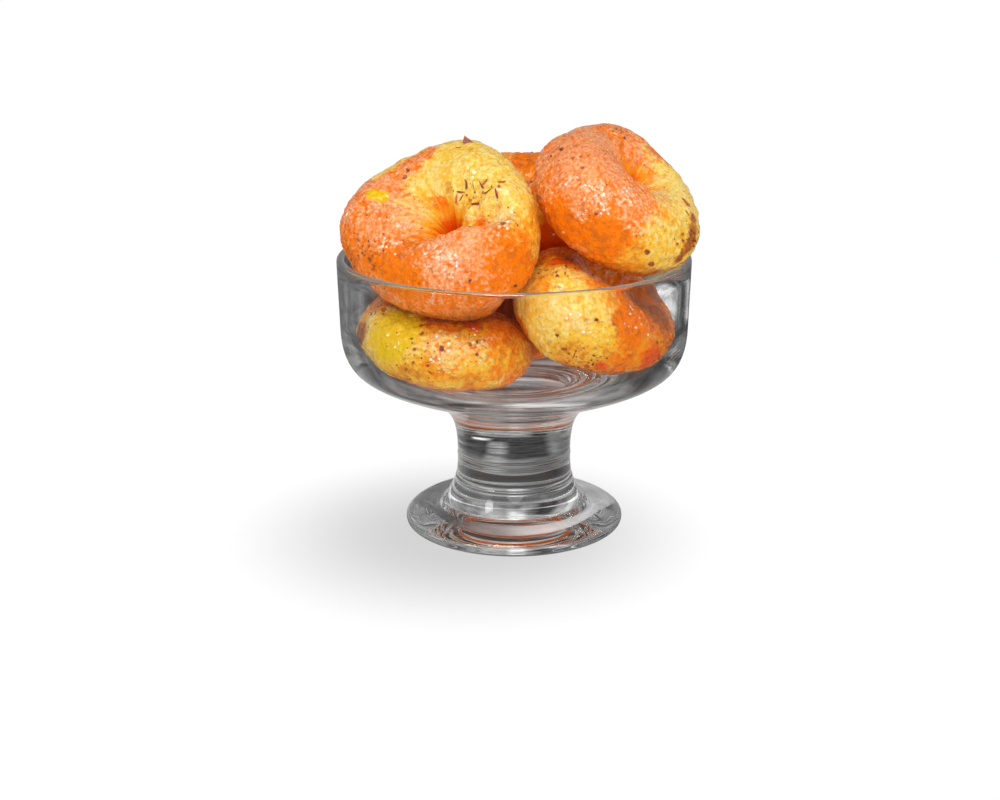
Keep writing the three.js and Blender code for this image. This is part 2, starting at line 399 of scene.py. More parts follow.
class Wire:
    """A socket of a node tree that can be added, multiplied and compared; each step is a Math node."""

    def __init__(self, tree, socket):
        self.tree = tree
        self.socket = socket

    def math(self, operation, *values):
        return self.tree.node("ShaderNodeMath", {"operation": operation}, dict(enumerate(values)))

    def __add__(self, other):
        return self.math("ADD", self, other)

    __radd__ = __add__

    def __sub__(self, other):
        return self.math("SUBTRACT", self, other)

    def __rsub__(self, other):
        return self.math("SUBTRACT", other, self)

    def __mul__(self, other):
        return self.math("MULTIPLY", self, other)

    __rmul__ = __mul__

    def __truediv__(self, other):
        return self.math("DIVIDE", self, other)

    def __pow__(self, other):
        return self.math("POWER", self, other)

    def __abs__(self):
        return self.math("ABSOLUTE", self)

    def sibling(self, key):
        """Another output of the node that this wire comes from."""
        return Wire(self.tree, self.socket.node.outputs[key])

    def above(self, edge):
        return self.math("GREATER_THAN", self, edge)

    def below(self, edge):
        return self.math("LESS_THAN", self, edge)

    def rising(self, low, high):
        """0 at low and under, 1 at high and over, smooth between."""
        return self.tree.node(
            "ShaderNodeMapRange", {"interpolation_type": "SMOOTHSTEP"}, {0: self, 1: low, 2: high}
        )

    def falling(self, low, high):
        """1 at low and under, 0 at high and over, smooth between."""
        return 1.0 - self.rising(low, high)

    def near(self, place, width):
        """1 close to place, falling softly to 0 at that width on both sides."""
        return abs(self - place).falling(0.25 * width, width)


class Tree:
    """The nodes of one material or of the world."""

    def __init__(self, owner):
        owner.use_nodes = True
        self.tree = owner.node_tree
        self.tree.nodes.clear()

    def node(self, kind, settings=None, sockets=None, out=0):
        """Adds a node: its settings first, then a value or a wire for each named or numbered socket."""
        made = self.tree.nodes.new(kind)
        for name, value in (settings or {}).items():
            setattr(made, name, value)
        for name, value in (sockets or {}).items():
            if isinstance(value, Wire):
                self.tree.links.new(value.socket, made.inputs[name])
            else:
                made.inputs[name].default_value = value
        return Wire(self, made.outputs[out]) if len(made.outputs) else None

    def blend(self, first, second, share):
        """The first colour where share is 0, the second where it is 1."""
        return self.node(
            "ShaderNodeMix",
            {"data_type": "RGBA", "clamp_factor": True},
            {0: share, 6: first, 7: second},
            out=2,
        )

    def attribute(self, name):
        return self.node("ShaderNodeAttribute", {"attribute_name": name}, out=2)

    def place(self):
        """Where a point is on the object, in metres."""
        return self.node("ShaderNodeTexCoord", out=3)

    def noise(self, size, detail=2.0, roughness=0.5, at=None):
        """Soft noise from 0 to 1 with lumps of about that size, in metres on an object."""
        where = self.place() if at is None else at
        return self.node(
            "ShaderNodeTexNoise",
            sockets={"Vector": where, "Scale": 1.0 / size, "Detail": detail, "Roughness": roughness},
        )

    def cells(self, size, out=0):
        """Cells of about that size in metres: distance from their middles, or their colour for out=1."""
        return self.node(
            "ShaderNodeTexVoronoi", sockets={"Vector": self.place(), "Scale": 1.0 / size}, out=out
        )

    def bump(self, height, distance, strength=1.0):
        """Relief that lifts the surface by up to that distance in metres."""
        return self.node(
            "ShaderNodeBump", sockets={"Strength": strength, "Distance": distance, "Height": height}
        )

    def ray(self, kind):
        """A share or number that a light path gives."""
        return self.node("ShaderNodeLightPath").sibling(kind)

    def straight_ray(self):
        """1 for what is seen through glass or mirrored in it, 0 for plain sight and for soft light."""
        return (self.ray("Is Camera Ray") + self.ray("Diffuse Depth")).below(0.5)

    def surface(self, shader):
        self.node("ShaderNodeOutputMaterial", sockets={"Surface": shader})

    def principled(self, sockets):
        """Makes the surface one principled shader with these values and wires."""
        self.surface(self.node("ShaderNodeBsdfPrincipled", sockets=sockets))


CRUST_FIELDS = ("light", "clear", "toast_and_painted_shade", "hole_and_painted_shade", "frost", "gloss_and_painted_glint")


def new_material(name):
    material = bpy.data.materials.new(name)
    return material, Tree(material)


def glass_material(settings):
    """Thick moulded glass with faint ripples."""
    material, tree = new_material("clear_moulded_glass")
    ripple = tree.noise(14 * MM, detail=1.0) + 0.12 * tree.noise(2.5 * MM, detail=1.0)
    tree.principled({
        "Base Color": settings.tint,
        "Roughness": 0.004 + 0.012 * tree.noise(20 * MM, detail=3.0).rising(0.45, 0.75),
        "IOR": 1.5,
        "Transmission Weight": 1.0,
        "Normal": tree.bump(ripple, 0.4 * MM, strength=0.05),
    })
    return material


def candy_material(settings):
    """Bubbly frosted crust over clear orange and yellow candy."""
    material, tree = new_material("puffed_candy_crust")
    light, clear, toast_and_painted_shade, hole_and_painted_shade, frost, gloss_and_painted_glint = (tree.attribute(name) for name in CRUST_FIELDS)
    blotch = tree.noise(5 * MM)
    mottle = tree.noise(1.5 * MM, detail=4.0, roughness=0.7)
    lace = tree.noise(0.8 * MM, detail=3.0, roughness=0.6)
    grain = tree.noise(0.45 * MM, roughness=0.6)
    bead = 1.0 - 1.8 * tree.cells(0.95 * MM) ** 2.0

    # The two halves, each from clear to frosted, with pale crystals on them. The crust is paler on bubble
    # tops, which is painted light.
    frosted_and_painted_light = frost + (mottle - 0.5) * 2.6 + (lace - 0.5) * 1.4 + (blotch - 0.5) * 1.3
    frosted_and_painted_light = (frosted_and_painted_light + (bead - 0.6) * 0.5).rising(0.05, 0.95)
    orange_part = tree.blend(settings.orange, settings.salmon, frosted_and_painted_light)
    yellow_part = tree.blend(settings.amber, settings.cream, 0.15 + 0.85 * frosted_and_painted_light)
    border = (light + (mottle - 0.5) * 1.6 + (blotch - 0.5) * 0.6).rising(0.1, 0.9)
    colour = tree.blend(orange_part, yellow_part, border)
    # Where the crust is glossy the pale grains are laid thicker, as a painted sheen.
    crystals_and_painted_sheen = (lace + 0.5 * (grain - 0.5) + 0.09 * gloss_and_painted_glint).rising(0.53, 0.66) * frosted_and_painted_light
    colour = tree.blend(colour, settings.crystal, crystals_and_painted_sheen * (0.52 - 0.25 * border + 0.25 * gloss_and_painted_glint))

    # Painted shade: deeper colour in the creases between the bubbles. Then red-brown flecks, the hole's
    # funnel and clear places.
    painted_crease_shade = tree.blend(settings.hole_and_painted_shade, settings.amber, border)
    colour = tree.blend(colour, painted_crease_shade, (0.55 - bead).rising(0.0, 0.5) * 0.38)
    rust = tree.noise(2.6 * MM, detail=4.0, roughness=0.7) + 0.12 * toast_and_painted_shade
    rust = (rust + 0.08 * (0.6 - frost).rising(0.0, 1.0)).rising(0.56, 0.66)
    colour = tree.blend(colour, settings.rust, rust * (0.65 - 0.20 * border))
    # Deep orange of the hole, which is painted shade where its patches lie away from the holes.
    funnel_and_painted_shade = tree.blend(settings.orange, settings.amber, 0.3 + 0.5 * border)
    colour = tree.blend(colour, funnel_and_painted_shade, hole_and_painted_shade.rising(0.0, 0.5))
    colour = tree.blend(colour, settings.hole_and_painted_shade, hole_and_painted_shade.rising(0.5, 1.0))
    colour = tree.blend(colour, settings.clear_yellow, clear * (0.9 + 0.4 * (mottle - 0.5)))

    # Toasted and burnt places, together with painted shade: the crust is browned and darkened on the
    # undersides of the rings and on shaded edges.
    toasted_and_painted_shade = (toast_and_painted_shade + (mottle - 0.5) * 1.6 + (grain - 0.5) * 0.5).rising(0.2, 1.0)
    colour = tree.blend(colour, settings.toast_and_painted_shade, toasted_and_painted_shade * (0.70 + 0.25 * toast_and_painted_shade))
    burnt_and_painted_shade = (toast_and_painted_shade + 2.0 * (mottle - 0.5) + 0.8 * (blotch - 0.5)).rising(0.80, 1.25)
    colour = tree.blend(colour, settings.burnt_and_painted_shade, burnt_and_painted_shade * 0.6)

    # Brown specks, and white glints that are a painted highlight: small dots in some cells only, picked by
    # the cell's own colour.
    speck_size = 0.75 * MM
    pick = tree.node("ShaderNodeSeparateColor", sockets={0: tree.cells(speck_size, out=1)})
    specks = tree.cells(speck_size).falling(0.15, 0.32) * pick.above(0.85)
    colour = tree.blend(colour, settings.speck, specks * (0.4 + 0.6 * toast_and_painted_shade))
    glint_size = 1.25 * MM
    chosen = tree.node("ShaderNodeSeparateColor", sockets={0: tree.cells(glint_size, out=1)}, out=1)
    painted_glint_spots = (tree.cells(glint_size) + 0.8 * (lace - 0.5) - 0.10 * chosen).falling(0.08, 0.22)
    colour = tree.blend(colour, settings.painted_glint, painted_glint_spots * (chosen + gloss_and_painted_glint * 0.75).above(1.15) * 0.95)

    relief = bead * (0.5 + 1.4 * (blotch - 0.3)) + mottle + lace * 0.5
    tree.principled({
        "Base Color": colour,
        "Roughness": (0.15 + 0.28 * lace.rising(0.35, 0.65)) * (1.0 - 0.4 * gloss_and_painted_glint),
        "IOR": 1.45,
        "Specular IOR Level": 0.5,
        "Specular Tint": (1.0, 0.66, 0.25, 1.0),
        "Subsurface Weight": 0.5,
        "Subsurface Radius": (1.0, 0.35, 0.08),
        "Subsurface Scale": 3.0 * MM,
        "Coat Weight": 0.10 + 1.5 * (blotch - 0.5) + 0.6 * gloss_and_painted_glint,
        "Coat Roughness": 0.09,
        "Normal": tree.bump(relief, 0.13 * MM),
    })
    return material


def flake_material(settings):
    """Dried chilli skin, from red to nearly black."""
    material, tree = new_material("dried_chilli_skin")
    change = tree.noise(2.0 * MM).rising(0.35, 0.65)
    tree.principled({
        "Base Color": tree.blend(settings.brown, settings.red, change),
        "Roughness": 0.45 + 0.2 * change,
        "Normal": tree.bump(tree.noise(0.3 * MM), 0.1 * MM, strength=0.5),
    })
    return material


# ---------------------------------------------------------------------------------------------
# The glass dish


def stretches(start, parts):
    """Points of an outline that runs on from start in curves, each given as (steps, two handles, end)."""
    line = []
    for steps, *handles, end in parts:
        corners = [Vector((r, 0, z)) for r, z in (start, *handles, end)]
        line += interpolate_bezier(*corners, steps + 1)[:-1]
        start = end
    return line


def dish_outline(settings):
    """Outline of the dish in millimetres, from under the foot round the outside to the inside floor."""
    steps = settings.curve_steps
    rim = settings.rim_radius / MM
    top = settings.height / MM
    bead = 1.2  # radius of the rounded lip
    wall = rim - 0.5  # outside of the bowl under the lip
    inner = wall - 2.3  # the glass is 2.3 mm thick there
    foot = [
        (steps, (10.0, 1.4), (17.2, 0.9), (21.5, 0)),
        (2, (23.4, 0), (25.4, 0), (27.3, 0)),
        (steps, (29.3, 0), (30.1, 0.8), (30.1, 2.0)),
        (steps, (30.1, 3.4), (28.4, 4.3), (26.4, 5.1)),
        (3, (24.2, 5.6), (22.1, 6.2), (20.1, 6.6)),
        (3, (19.8, 6.8), (19.6, 6.9), (19.4, 7.3)),
    ]
    stem = [
        (steps, (18.2, 8.9), (17.0, 10.9), (16.3, 13.0)),
        (4, (16.4, 13.2), (16.3, 13.7), (16.05, 13.9)),
        (5, (15.75, 15.4), (15.6, 17.0), (15.6, 19.6)),
        (4, (15.73, 19.9), (15.73, 20.5), (15.6, 20.8)),
        (steps, (15.6, 24.8), (16.0, 29.5), (18.1, 32.1)),
    ]
    bowl = [
        (steps, (19.6, 34.4), (22.5, 35.9), (26.7, 37.6)),
        (steps, (33.0, 40.2), (38.4, 41.9), (41.9, 44.3)),
        (steps, (45.0, 46.4), (wall - 0.1, 50.0), (wall, 57.0)),
        (4, (wall + 0.1, 62.9), (rim - 0.1, 68.8), (rim, top - bead)),
    ]
    inside = [
        (4, (inner + 0.3, 70.0), (inner + 0.1, 65.0), (inner, 60.0)),
        (steps, (inner - 0.1, 54.0), (43.4, 49.8), (40.3, 46.9)),
        (steps, (37.0, 44.1), (31.1, 42.9), (25.1, 41.5)),
        (steps, (16.7, 40.8), (8.4, 40.4), (0, 40.4)),
    ]
    line = stretches((0, 1.4), foot + stem + bowl)
    for step in range(steps):
        turn = math.pi * step / steps
        line.append(Vector((rim - bead + bead * math.cos(turn), 0, top - bead + bead * math.sin(turn))))
    line += stretches((rim - 2 * bead, top - bead), inside)
    line.append(Vector((0, 0, 40.4)))
    return [point * MM for point in line]


def make_dish(settings):
    """Spins the outline into one closed thick-walled dish."""
    work = bmesh.new()
    points = [work.verts.new(point) for point in dish_outline(settings)]
    edges = [work.edges.new(pair) for pair in zip(points, points[1:])]
    bmesh.ops.spin(
        work,
        geom=points + edges,
        axis=(0, 0, 1),
        cent=(0, 0, 0),
        angle=2 * math.pi,
        steps=settings.turns,
        use_merge=True,
    )
    bmesh.ops.remove_doubles(work, verts=work.verts, dist=1e-6)
    bmesh.ops.recalc_face_normals(work, faces=work.faces)
    return finish_piece(work, "moulded_glass_dish", smooth=True)


def finish_piece(work, name, smooth):
    """Turns the working mesh into an object that sits at the origin."""
    mesh = bpy.data.meshes.new(name)
    work.to_mesh(mesh)
    work.free()
    for face in mesh.polygons:
        face.use_smooth = smooth
    piece = bpy.data.objects.new(name, mesh)
    bpy.context.scene.collection.objects.link(piece)
    return piece


# ---------------------------------------------------------------------------------------------
# The candy rings


def baked(piece):
    """The piece's mesh with its modifiers applied."""
    bpy.context.view_layer.update()
    seen = piece.evaluated_get(bpy.context.evaluated_depsgraph_get())
    mesh = bpy.data.meshes.new_from_object(seen)
    old = piece.data
    piece.modifiers.clear()
    piece.data = mesh
    bpy.data.meshes.remove(old)
    return mesh


def smooth_copy(node, grain):
    """A rounded, evenly meshed copy of a ring's solid."""
    work = bmesh.new()
    work.from_mesh(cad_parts[node].data)
    bmesh.ops.remove_doubles(work, verts=work.verts, dist=1e-6)
    bmesh.ops.join_triangles(
        work, faces=work.faces, angle_face_threshold=math.pi, angle_shape_threshold=math.pi
    )
    piece = finish_piece(work, "puffed_" + node, smooth=True)
    rounded = piece.modifiers.new("Round", "SUBSURF")
    rounded.levels = rounded.render_levels = 2
    even = piece.modifiers.new("Even", "REMESH")
    even.mode = "VOXEL"
    even.voxel_size = grain
    even.use_smooth_shade = True
    baked(piece)
    return piece


def column(mesh, field):
    """The places or the normals of all points of a mesh, one row for each."""
    rows = np.empty(len(mesh.vertices) * 3, np.float32)
    mesh.vertices.foreach_get(field, rows)
    return rows.reshape(-1, 3).astype(float)


def ring_frame(node):
    """Middle of a ring in millimetres, and its axis: the way in which it is thinnest, pointing up."""
    places = np.unique(np.round(column(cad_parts[node].data, "co") / MM, 3), axis=0)
    middle = places.mean(axis=0)
    axis = np.linalg.svd(places - middle, full_matrices=False)[2][2]
    return middle, axis * np.sign(axis[2])


def smoothstep(low, high, values):
    share = np.clip((values - low) / (high - low), 0, 1)
    return share * share * (3 - 2 * share)


def scrambled(cells, seed):
    """Three even random numbers from 0 to 1 for each whole-numbered cell, the same on every run."""
    whole = cells.astype(np.int64).astype(np.uint32)
    mixed = whole[:, 0] * np.uint32(0x9E3779B1) + whole[:, 1] * np.uint32(0x85EBCA77)
    mixed += whole[:, 2] * np.uint32(0xC2B2AE3D) + np.uint32(7919 * seed + 1)
    columns = []
    for _ in range(3):
        mixed = (mixed ^ (mixed >> np.uint32(15))) * np.uint32(0x2C1B3C6D)
        mixed = (mixed ^ (mixed >> np.uint32(12))) * np.uint32(0x297A2D39)
        mixed = mixed ^ (mixed >> np.uint32(15))
        columns.append(mixed / 2.0**32)
    return np.stack(columns, axis=1)


def soft_noise(places, size, seed):
    """Smooth noise from -1 to 1 with lumps of that size."""
    grid = places / size
    cells = np.floor(grid)
    part = grid - cells
    ease = part * part * (3 - 2 * part)
    total = np.zeros(len(places))
    for corner in product((0, 1), repeat=3):
        weight = np.prod(np.where(corner, ease, 1 - ease), axis=1)
        total += weight * scrambled(cells + corner, seed)[:, 0]
    return 2 * total - 1


def bubbles(places, size, seed):
    """Round domes of that size packed side by side: 1 on top, about 0 in the creases between."""
    grid = places / size
    cells = np.floor(grid)
    nearest = np.full(len(places), 9.0)
    for step in product((-1, 0, 1), repeat=3):
        corner = cells + step
        nearest = np.minimum(nearest, ((corner + scrambled(corner, seed) - grid) ** 2).sum(axis=1))
    return 1 - np.minimum(nearest / 0.5, 1.3)


def outer_point(piece, middle, direction):
    """Where a ray from outside to the middle of a ring first meets it: place and normal, in metres."""
    away = Vector(direction).normalized()
    start = Vector(middle) * MM + away * 60 * MM
    met, place, normal, _ = piece.ray_cast(start, -away)
    if not met:
        place, normal = piece.closest_point_on_mesh(start)[1:3]
    return place.copy(), normal.copy()


# Sizes in mm of dents and lumps, and of the places where the crust is bubbly, coarse, glossy with painted
# glints, or ragged.
DENT_SIZE = 9.0
LUMP_SIZE = 3.2
BUBBLY_SIZE = 7.0
COARSE_SIZE = 11.0
GLOSS_AND_GLINT_SIZE = 4.0
RAGGED_SIZE = 1.3
# How far from its axis the marks of a ring's hole reach, in mm: whole at the first value, gone at the second.
PINCH_REACH = (4.0, 14.0)
HEART_REACH = (1.5, 8.0)
STREAK_REACH = (7.0, 17.0)
SHIFT_REACH = (2.0, 16.0)
# The streaks are noise that changes fast round the axis and slowly outwards.
STREAKS_AROUND = 8
STREAKS_OUTWARDS = 0.12
# The noise has no end, so each ring, and the streaks, take their own stretch of it.
RING_STEP = 100
STREAK_START = 50
# How far a patch lifts the crust, in mm.
LIFTS = {"bulge": 0.7, "dent": -2.0}
# What a patch makes of the light field, and what it adds to the frost field.
COLOURINGS = {
    "amber": (0.55, -0.6),
    "orange": (0.0, -0.6),
    "pink": (0.0, 0.15),
    "tan": (0.55, 0.3),
    "frost": (None, 0.35),
    "bare": (None, -0.8),
}


def around_axis(local, axis):
    """Angle round a ring's axis and distance from it, for places taken from the ring's middle."""
    ahead = np.cross(axis, (0, 1, 0))
    ahead /= np.linalg.norm(ahead)
    side = np.cross(axis, ahead)
    return np.arctan2(local @ side, local @ ahead), np.hypot(local @ side, local @ ahead)


def mixed_bubbles(places, size, seed):
    """Bubbles of that size, with stretches of coarser ones."""
    coarse = smoothstep(-0.2, 0.4, soft_noise(places, COARSE_SIZE, seed + 30))
    return coarse * bubbles(places, 1.5 * size, seed) + (1 - coarse) * bubbles(places, size, seed + 5)


def lay_patches(piece, ring, places, uneven, height, fields):
    """Adds a ring's patches to its height and its colour fields; uneven makes their borders wander."""
    middle = ring_frame(ring.node)[0]
    for kind, direction, size in marks_of(ring.patches):
        spot = np.array(outer_point(piece, middle, direction)[0]) / MM
        gap = np.linalg.norm(places - spot, axis=1) / size + uneven
        border = (0.8, 1.15) if kind == "clear" else (0.35, 1.25)
        share = 1 - smoothstep(*border, gap)
        if kind in LIFTS:
            height += LIFTS[kind] * share
        elif kind in COLOURINGS:
            light, frost = COLOURINGS[kind]
            fields["frost"] += frost * share
            if light is not None:
                fields["light"] += (light - fields["light"]) * share
        else:
            fields[kind] = np.maximum(fields[kind], share)


def crust(piece, ring, settings, seed):
    """Raises bubbles, pleats and dents on a ring, and stores where its colours lie."""
    mesh = piece.data
    middle, axis = ring_frame(ring.node)
    places = column(mesh, "co") / MM
    normals = column(mesh, "normal")
    local = places - middle
    turn, radius = around_axis(local, axis)
    shifted = places + RING_STEP * (seed + 1)
    dents = soft_noise(shifted, DENT_SIZE, seed)
    lumps = soft_noise(shifted, LUMP_SIZE, seed)
    bubbly = smoothstep(-0.5, 0.5, soft_noise(shifted, BUBBLY_SIZE, seed + 20))
    gloss_and_glint_noise = smoothstep(0.0, 0.6, soft_noise(shifted, GLOSS_AND_GLINT_SIZE, seed + 40))
    domes = mixed_bubbles(shifted, settings.bubble_size / MM, seed)
    around = STREAKS_AROUND * np.cos(turn), STREAKS_AROUND * np.sin(turn)
    rays = np.stack((*around, STREAKS_OUTWARDS * radius), axis=1)
    streaks = soft_noise(rays + STREAK_START, 1.0, seed)

    inward = 1 - smoothstep(*PINCH_REACH, radius)
    height = settings.dent_height / MM * dents + 0.25 * lumps
    height += settings.bubble_height / MM * (domes - 0.5) * (0.3 + 0.7 * bubbly) * (1 - 0.7 * inward)
    height += 0.35 * streaks * inward + 0.25

    reach = np.linalg.norm(local, axis=1).max()
    lit = local @ (np.array(ring.light_side) / np.linalg.norm(ring.light_side)) / reach
    # Painted shade: the crust is browner where it faces down, under the rings.
    toast_and_painted_shade = (0.9 + 0.4 * lumps) * smoothstep(0.5, 0.95, -normals[:, 2])
    # Painted light: the crust is frostier and paler on bubble tops, where the dent noise lifts it and on
    # faces turned up.
    frost = ring.frosting + 0.55 * (domes - 0.5) * (0.4 + 0.6 * bubbly) + 0.20 * dents
    frost += 0.18 * normals[:, 2] + 0.70 * streaks * (1 - smoothstep(*STREAK_REACH, radius))
    fields = {
        "light": smoothstep(-0.32, 0.32, lit - ring.light_edge + 0.10 * dents + 0.06 * lumps),
        "clear": np.zeros(len(places)),
        "toast_and_painted_shade": toast_and_painted_shade,
        "hole_and_painted_shade": 1 - smoothstep(*HEART_REACH, radius + 2.0 * streaks),
        "frost": frost,
        # Glossier crust, where white glints and a pale sheen are also painted as highlights.
        "gloss_and_painted_glint": 0.25 * gloss_and_glint_noise * (1 - toast_and_painted_shade),
    }
    ragged = soft_noise(shifted, RAGGED_SIZE, seed + 50)
    lay_patches(piece, ring, places, 0.16 * lumps + 0.10 * ragged, height, fields)

    moved = places + normals * height[:, None]
    moved += np.outer(1 - smoothstep(*SHIFT_REACH, radius), ring.hole_shift)
    moved = np.clip(moved, *(np.array(corner) / MM for corner in CAD_BOUNDS))
    mesh.vertices.foreach_set("co", (moved * MM).astype(np.float32).ravel())
    mesh.update()
    for name in CRUST_FIELDS:
        values = mesh.attributes.new(name, "FLOAT", "POINT").data
        values.foreach_set("value", fields[name].astype(np.float32))


def make_ring(ring, settings, seed):
    piece = smooth_copy(ring.node, settings.grain)
    crust(piece, ring, settings, seed)
    return piece


# ---------------------------------------------------------------------------------------------
# Chilli flakes and dust

# How deep a picked flake, a loose flake and a grain of dust sit in the crust, as a share of their length.
PICKED_SINK = 0.05
LOOSE_SINK = 0.02
DUST_SINK = 0.1
# Least, greatest and usual length in mm of the flakes and grains of a cluster, and of those that lie loose.
CLUSTER_FLAKE = (0.3, 1.1, 0.4)
CLUSTER_GRAIN = (0.12, 0.4, 0.2)
LOOSE_FLAKE = (0.25, 0.9, 0.3)
LOOSE_GRAIN = (0.12, 0.38, 0.2)
GRAINS_PER_FLAKE = 4
DUST_PATCH_SIZE = 6.0
# Starts of the random draws.
SHAPE_SEED = 7
LAYING_SEED = 100
DUST_SEED = 60


def chip_shape(rng, long, wide, thick, corners=7):
    """A broken scrap of dried chilli skin about 1 mm long, lying flat."""
    work = bmesh.new()
    bmesh.ops.create_circle(work, cap_ends=True, segments=corners, radius=0.5)
    raised = bmesh.ops.extrude_face_region(work, geom=work.faces[:])["geom"]
    top = [part for part in raised if isinstance(part, bmesh.types.BMVert)]
    bmesh.ops.translate(work, verts=top, vec=(0, 0, 1))
    bmesh.ops.scale(work, verts=work.verts, vec=(long, wide, thick))
    bend = rng.uniform(0.5, 1.6)
    for vertex in work.verts:
        vertex.co.x *= rng.uniform(0.75, 1.2)
        vertex.co.y *= rng.uniform(0.7, 1.2)
        vertex.co.z += bend * thick * (2 * vertex.co.x / long) ** 2 + rng.uniform(-0.2, 0.2) * thick
    return shape_mesh(work, "chip")


def crumb_shape(rng):
    """A crumb of chilli about 1 mm across."""
    work = bmesh.new()
    bmesh.ops.create_icosphere(work, subdivisions=1, radius=0.5)
    bmesh.ops.scale(work, verts=work.verts, vec=(1, rng.uniform(0.6, 0.9), rng.uniform(0.45, 0.7)))
    for vertex in work.verts:
        vertex.co *= rng.uniform(0.75, 1.2)
    return shape_mesh(work, "crumb")


def shape_mesh(work, name):
    """A small mesh to be copied many times, in millimetres."""
    bmesh.ops.recalc_face_normals(work, faces=work.faces)
    mesh = bpy.data.meshes.new(name)
    work.to_mesh(mesh)
    work.free()
    return mesh


def set_upright(place, size):
    """A matrix that stands a shape on edge, facing the front, with its tip pushed to the left."""
    lean = Matrix.Rotation(math.radians(65), 4, "X")
    push = Matrix(((1, -0.5, 0, 0), (0, 0.85, 0, 0), (0, 0, 1, 0), (0, 0, 0, 1)))
    return Matrix.Translation(place) @ lean @ push @ Matrix.Diagonal((size, size, size, 1.0))


def laid_on(place, normal, twist, size, sink):
    """A matrix that lays a shape on the surface, turned by twist; sink is how far its middle sits in it."""
    side = normal.orthogonal().normalized()
    across = normal.cross(side)
    lay = Matrix((side, across, normal)).transposed().to_4x4()
    grow = Matrix.Diagonal((size, size, size, 1.0))
    return Matrix.Translation(place - normal * sink) @ lay @ Matrix.Rotation(twist, 4, "Z") @ grow


class Scatter:
    """Joins many small shapes into one mesh."""

    def __init__(self, name, shapes):
        self.name = name
        self.shapes = shapes
        self.work = bmesh.new()

    def add(self, rng, spot, size, sink, upright=False):
        """Adds one shape at a place and normal: size is its length in mm, sink a share of that."""
        place, normal = spot
        shape = self.shapes[0] if upright else rng.choice(self.shapes)
        twist = rng.uniform(0, 2 * math.pi)
        if upright:
            matrix = set_upright(place, size * MM)
        else:
            matrix = laid_on(place, normal, twist, size * MM, sink * size * MM)
        shape.transform(matrix)
        self.work.from_mesh(shape)
        shape.transform(matrix.inverted())

    def finish(self):
        for shape in self.shapes:
            bpy.data.meshes.remove(shape)
        for vertex in self.work.verts:
            ranges = zip(vertex.co, *CAD_BOUNDS)
            vertex.co = [min(max(value, least), most) for value, least, most in ranges]
        return finish_piece(self.work, self.name, smooth=False)


def beside(rng, piece, middle, direction, spread):
    """A spot on the ring near that direction, no more than a few spreads away."""
    place = outer_point(piece, middle, direction)[0]
    aside = Vector([rng.gauss(0, 0.5 * spread * MM) for _ in range(3)])
    return piece.closest_point_on_mesh(place + aside)[1:3]


def strew(pieces, settings):
    """Lays chips, slivers and dust on all rings; returns their pieces."""
    shapes = random.Random(SHAPE_SEED)
    shard = chip_shape(shapes, 1, 1, 0.12, corners=3)
    scraps = [chip_shape(shapes, 1, shapes.uniform(0.5, 0.9), 0.16) for _ in range(8)]
    strips = [chip_shape(shapes, 1, shapes.uniform(0.13, 0.26), 0.10) for _ in range(6)]
    chips = Scatter("chilli_chips", [shard, *scraps])
    slivers = Scatter("chilli_slivers", strips)
    dust = Scatter("chilli_dust", [crumb_shape(shapes) for _ in range(6)])
    scatters = {"chip": chips, "sliver": slivers, "standing": chips}
    for order, (ring, piece) in enumerate(zip(RINGS, pieces)):
        rng = random.Random(LAYING_SEED + order)
        middle = ring_frame(ring.node)[0]
        points = piece.data.vertices
        for kind, direction, size in marks_of(ring.flakes):
            spot = outer_point(piece, middle, direction)
            scatters[kind].add(rng, spot, size, PICKED_SINK, upright=kind == "standing")
        for direction, spread, number_of_flakes in ring.clusters:
            for _ in range(number_of_flakes):
                spot = beside(rng, piece, middle, direction, spread)
                chips.add(rng, spot, rng.triangular(*CLUSTER_FLAKE), LOOSE_SINK)
                for _ in range(GRAINS_PER_FLAKE):
                    spot = beside(rng, piece, middle, direction, 1.4 * spread)
                    dust.add(rng, spot, rng.triangular(*CLUSTER_GRAIN), DUST_SINK)
        for _ in range(settings.flakes_each):
            point = points[rng.randrange(len(points))]
            chips.add(rng, (point.co, point.normal), rng.triangular(*LOOSE_FLAKE), LOOSE_SINK)
        patchy = soft_noise(column(piece.data, "co") / MM, DUST_PATCH_SIZE, DUST_SEED + order)
        for _ in range(settings.dust_each):
            index = rng.randrange(len(points))
            if patchy[index] > rng.uniform(-0.5, 0.6):
                spot = points[index].co, points[index].normal
                dust.add(rng, spot, rng.triangular(*LOOSE_GRAIN), DUST_SINK)
    return [scatter.finish() for scatter in (chips, slivers, dust)]


# ---------------------------------------------------------------------------------------------
# Stage


def distance_from(across, deep):
    return (across * across + deep * deep) ** 0.5


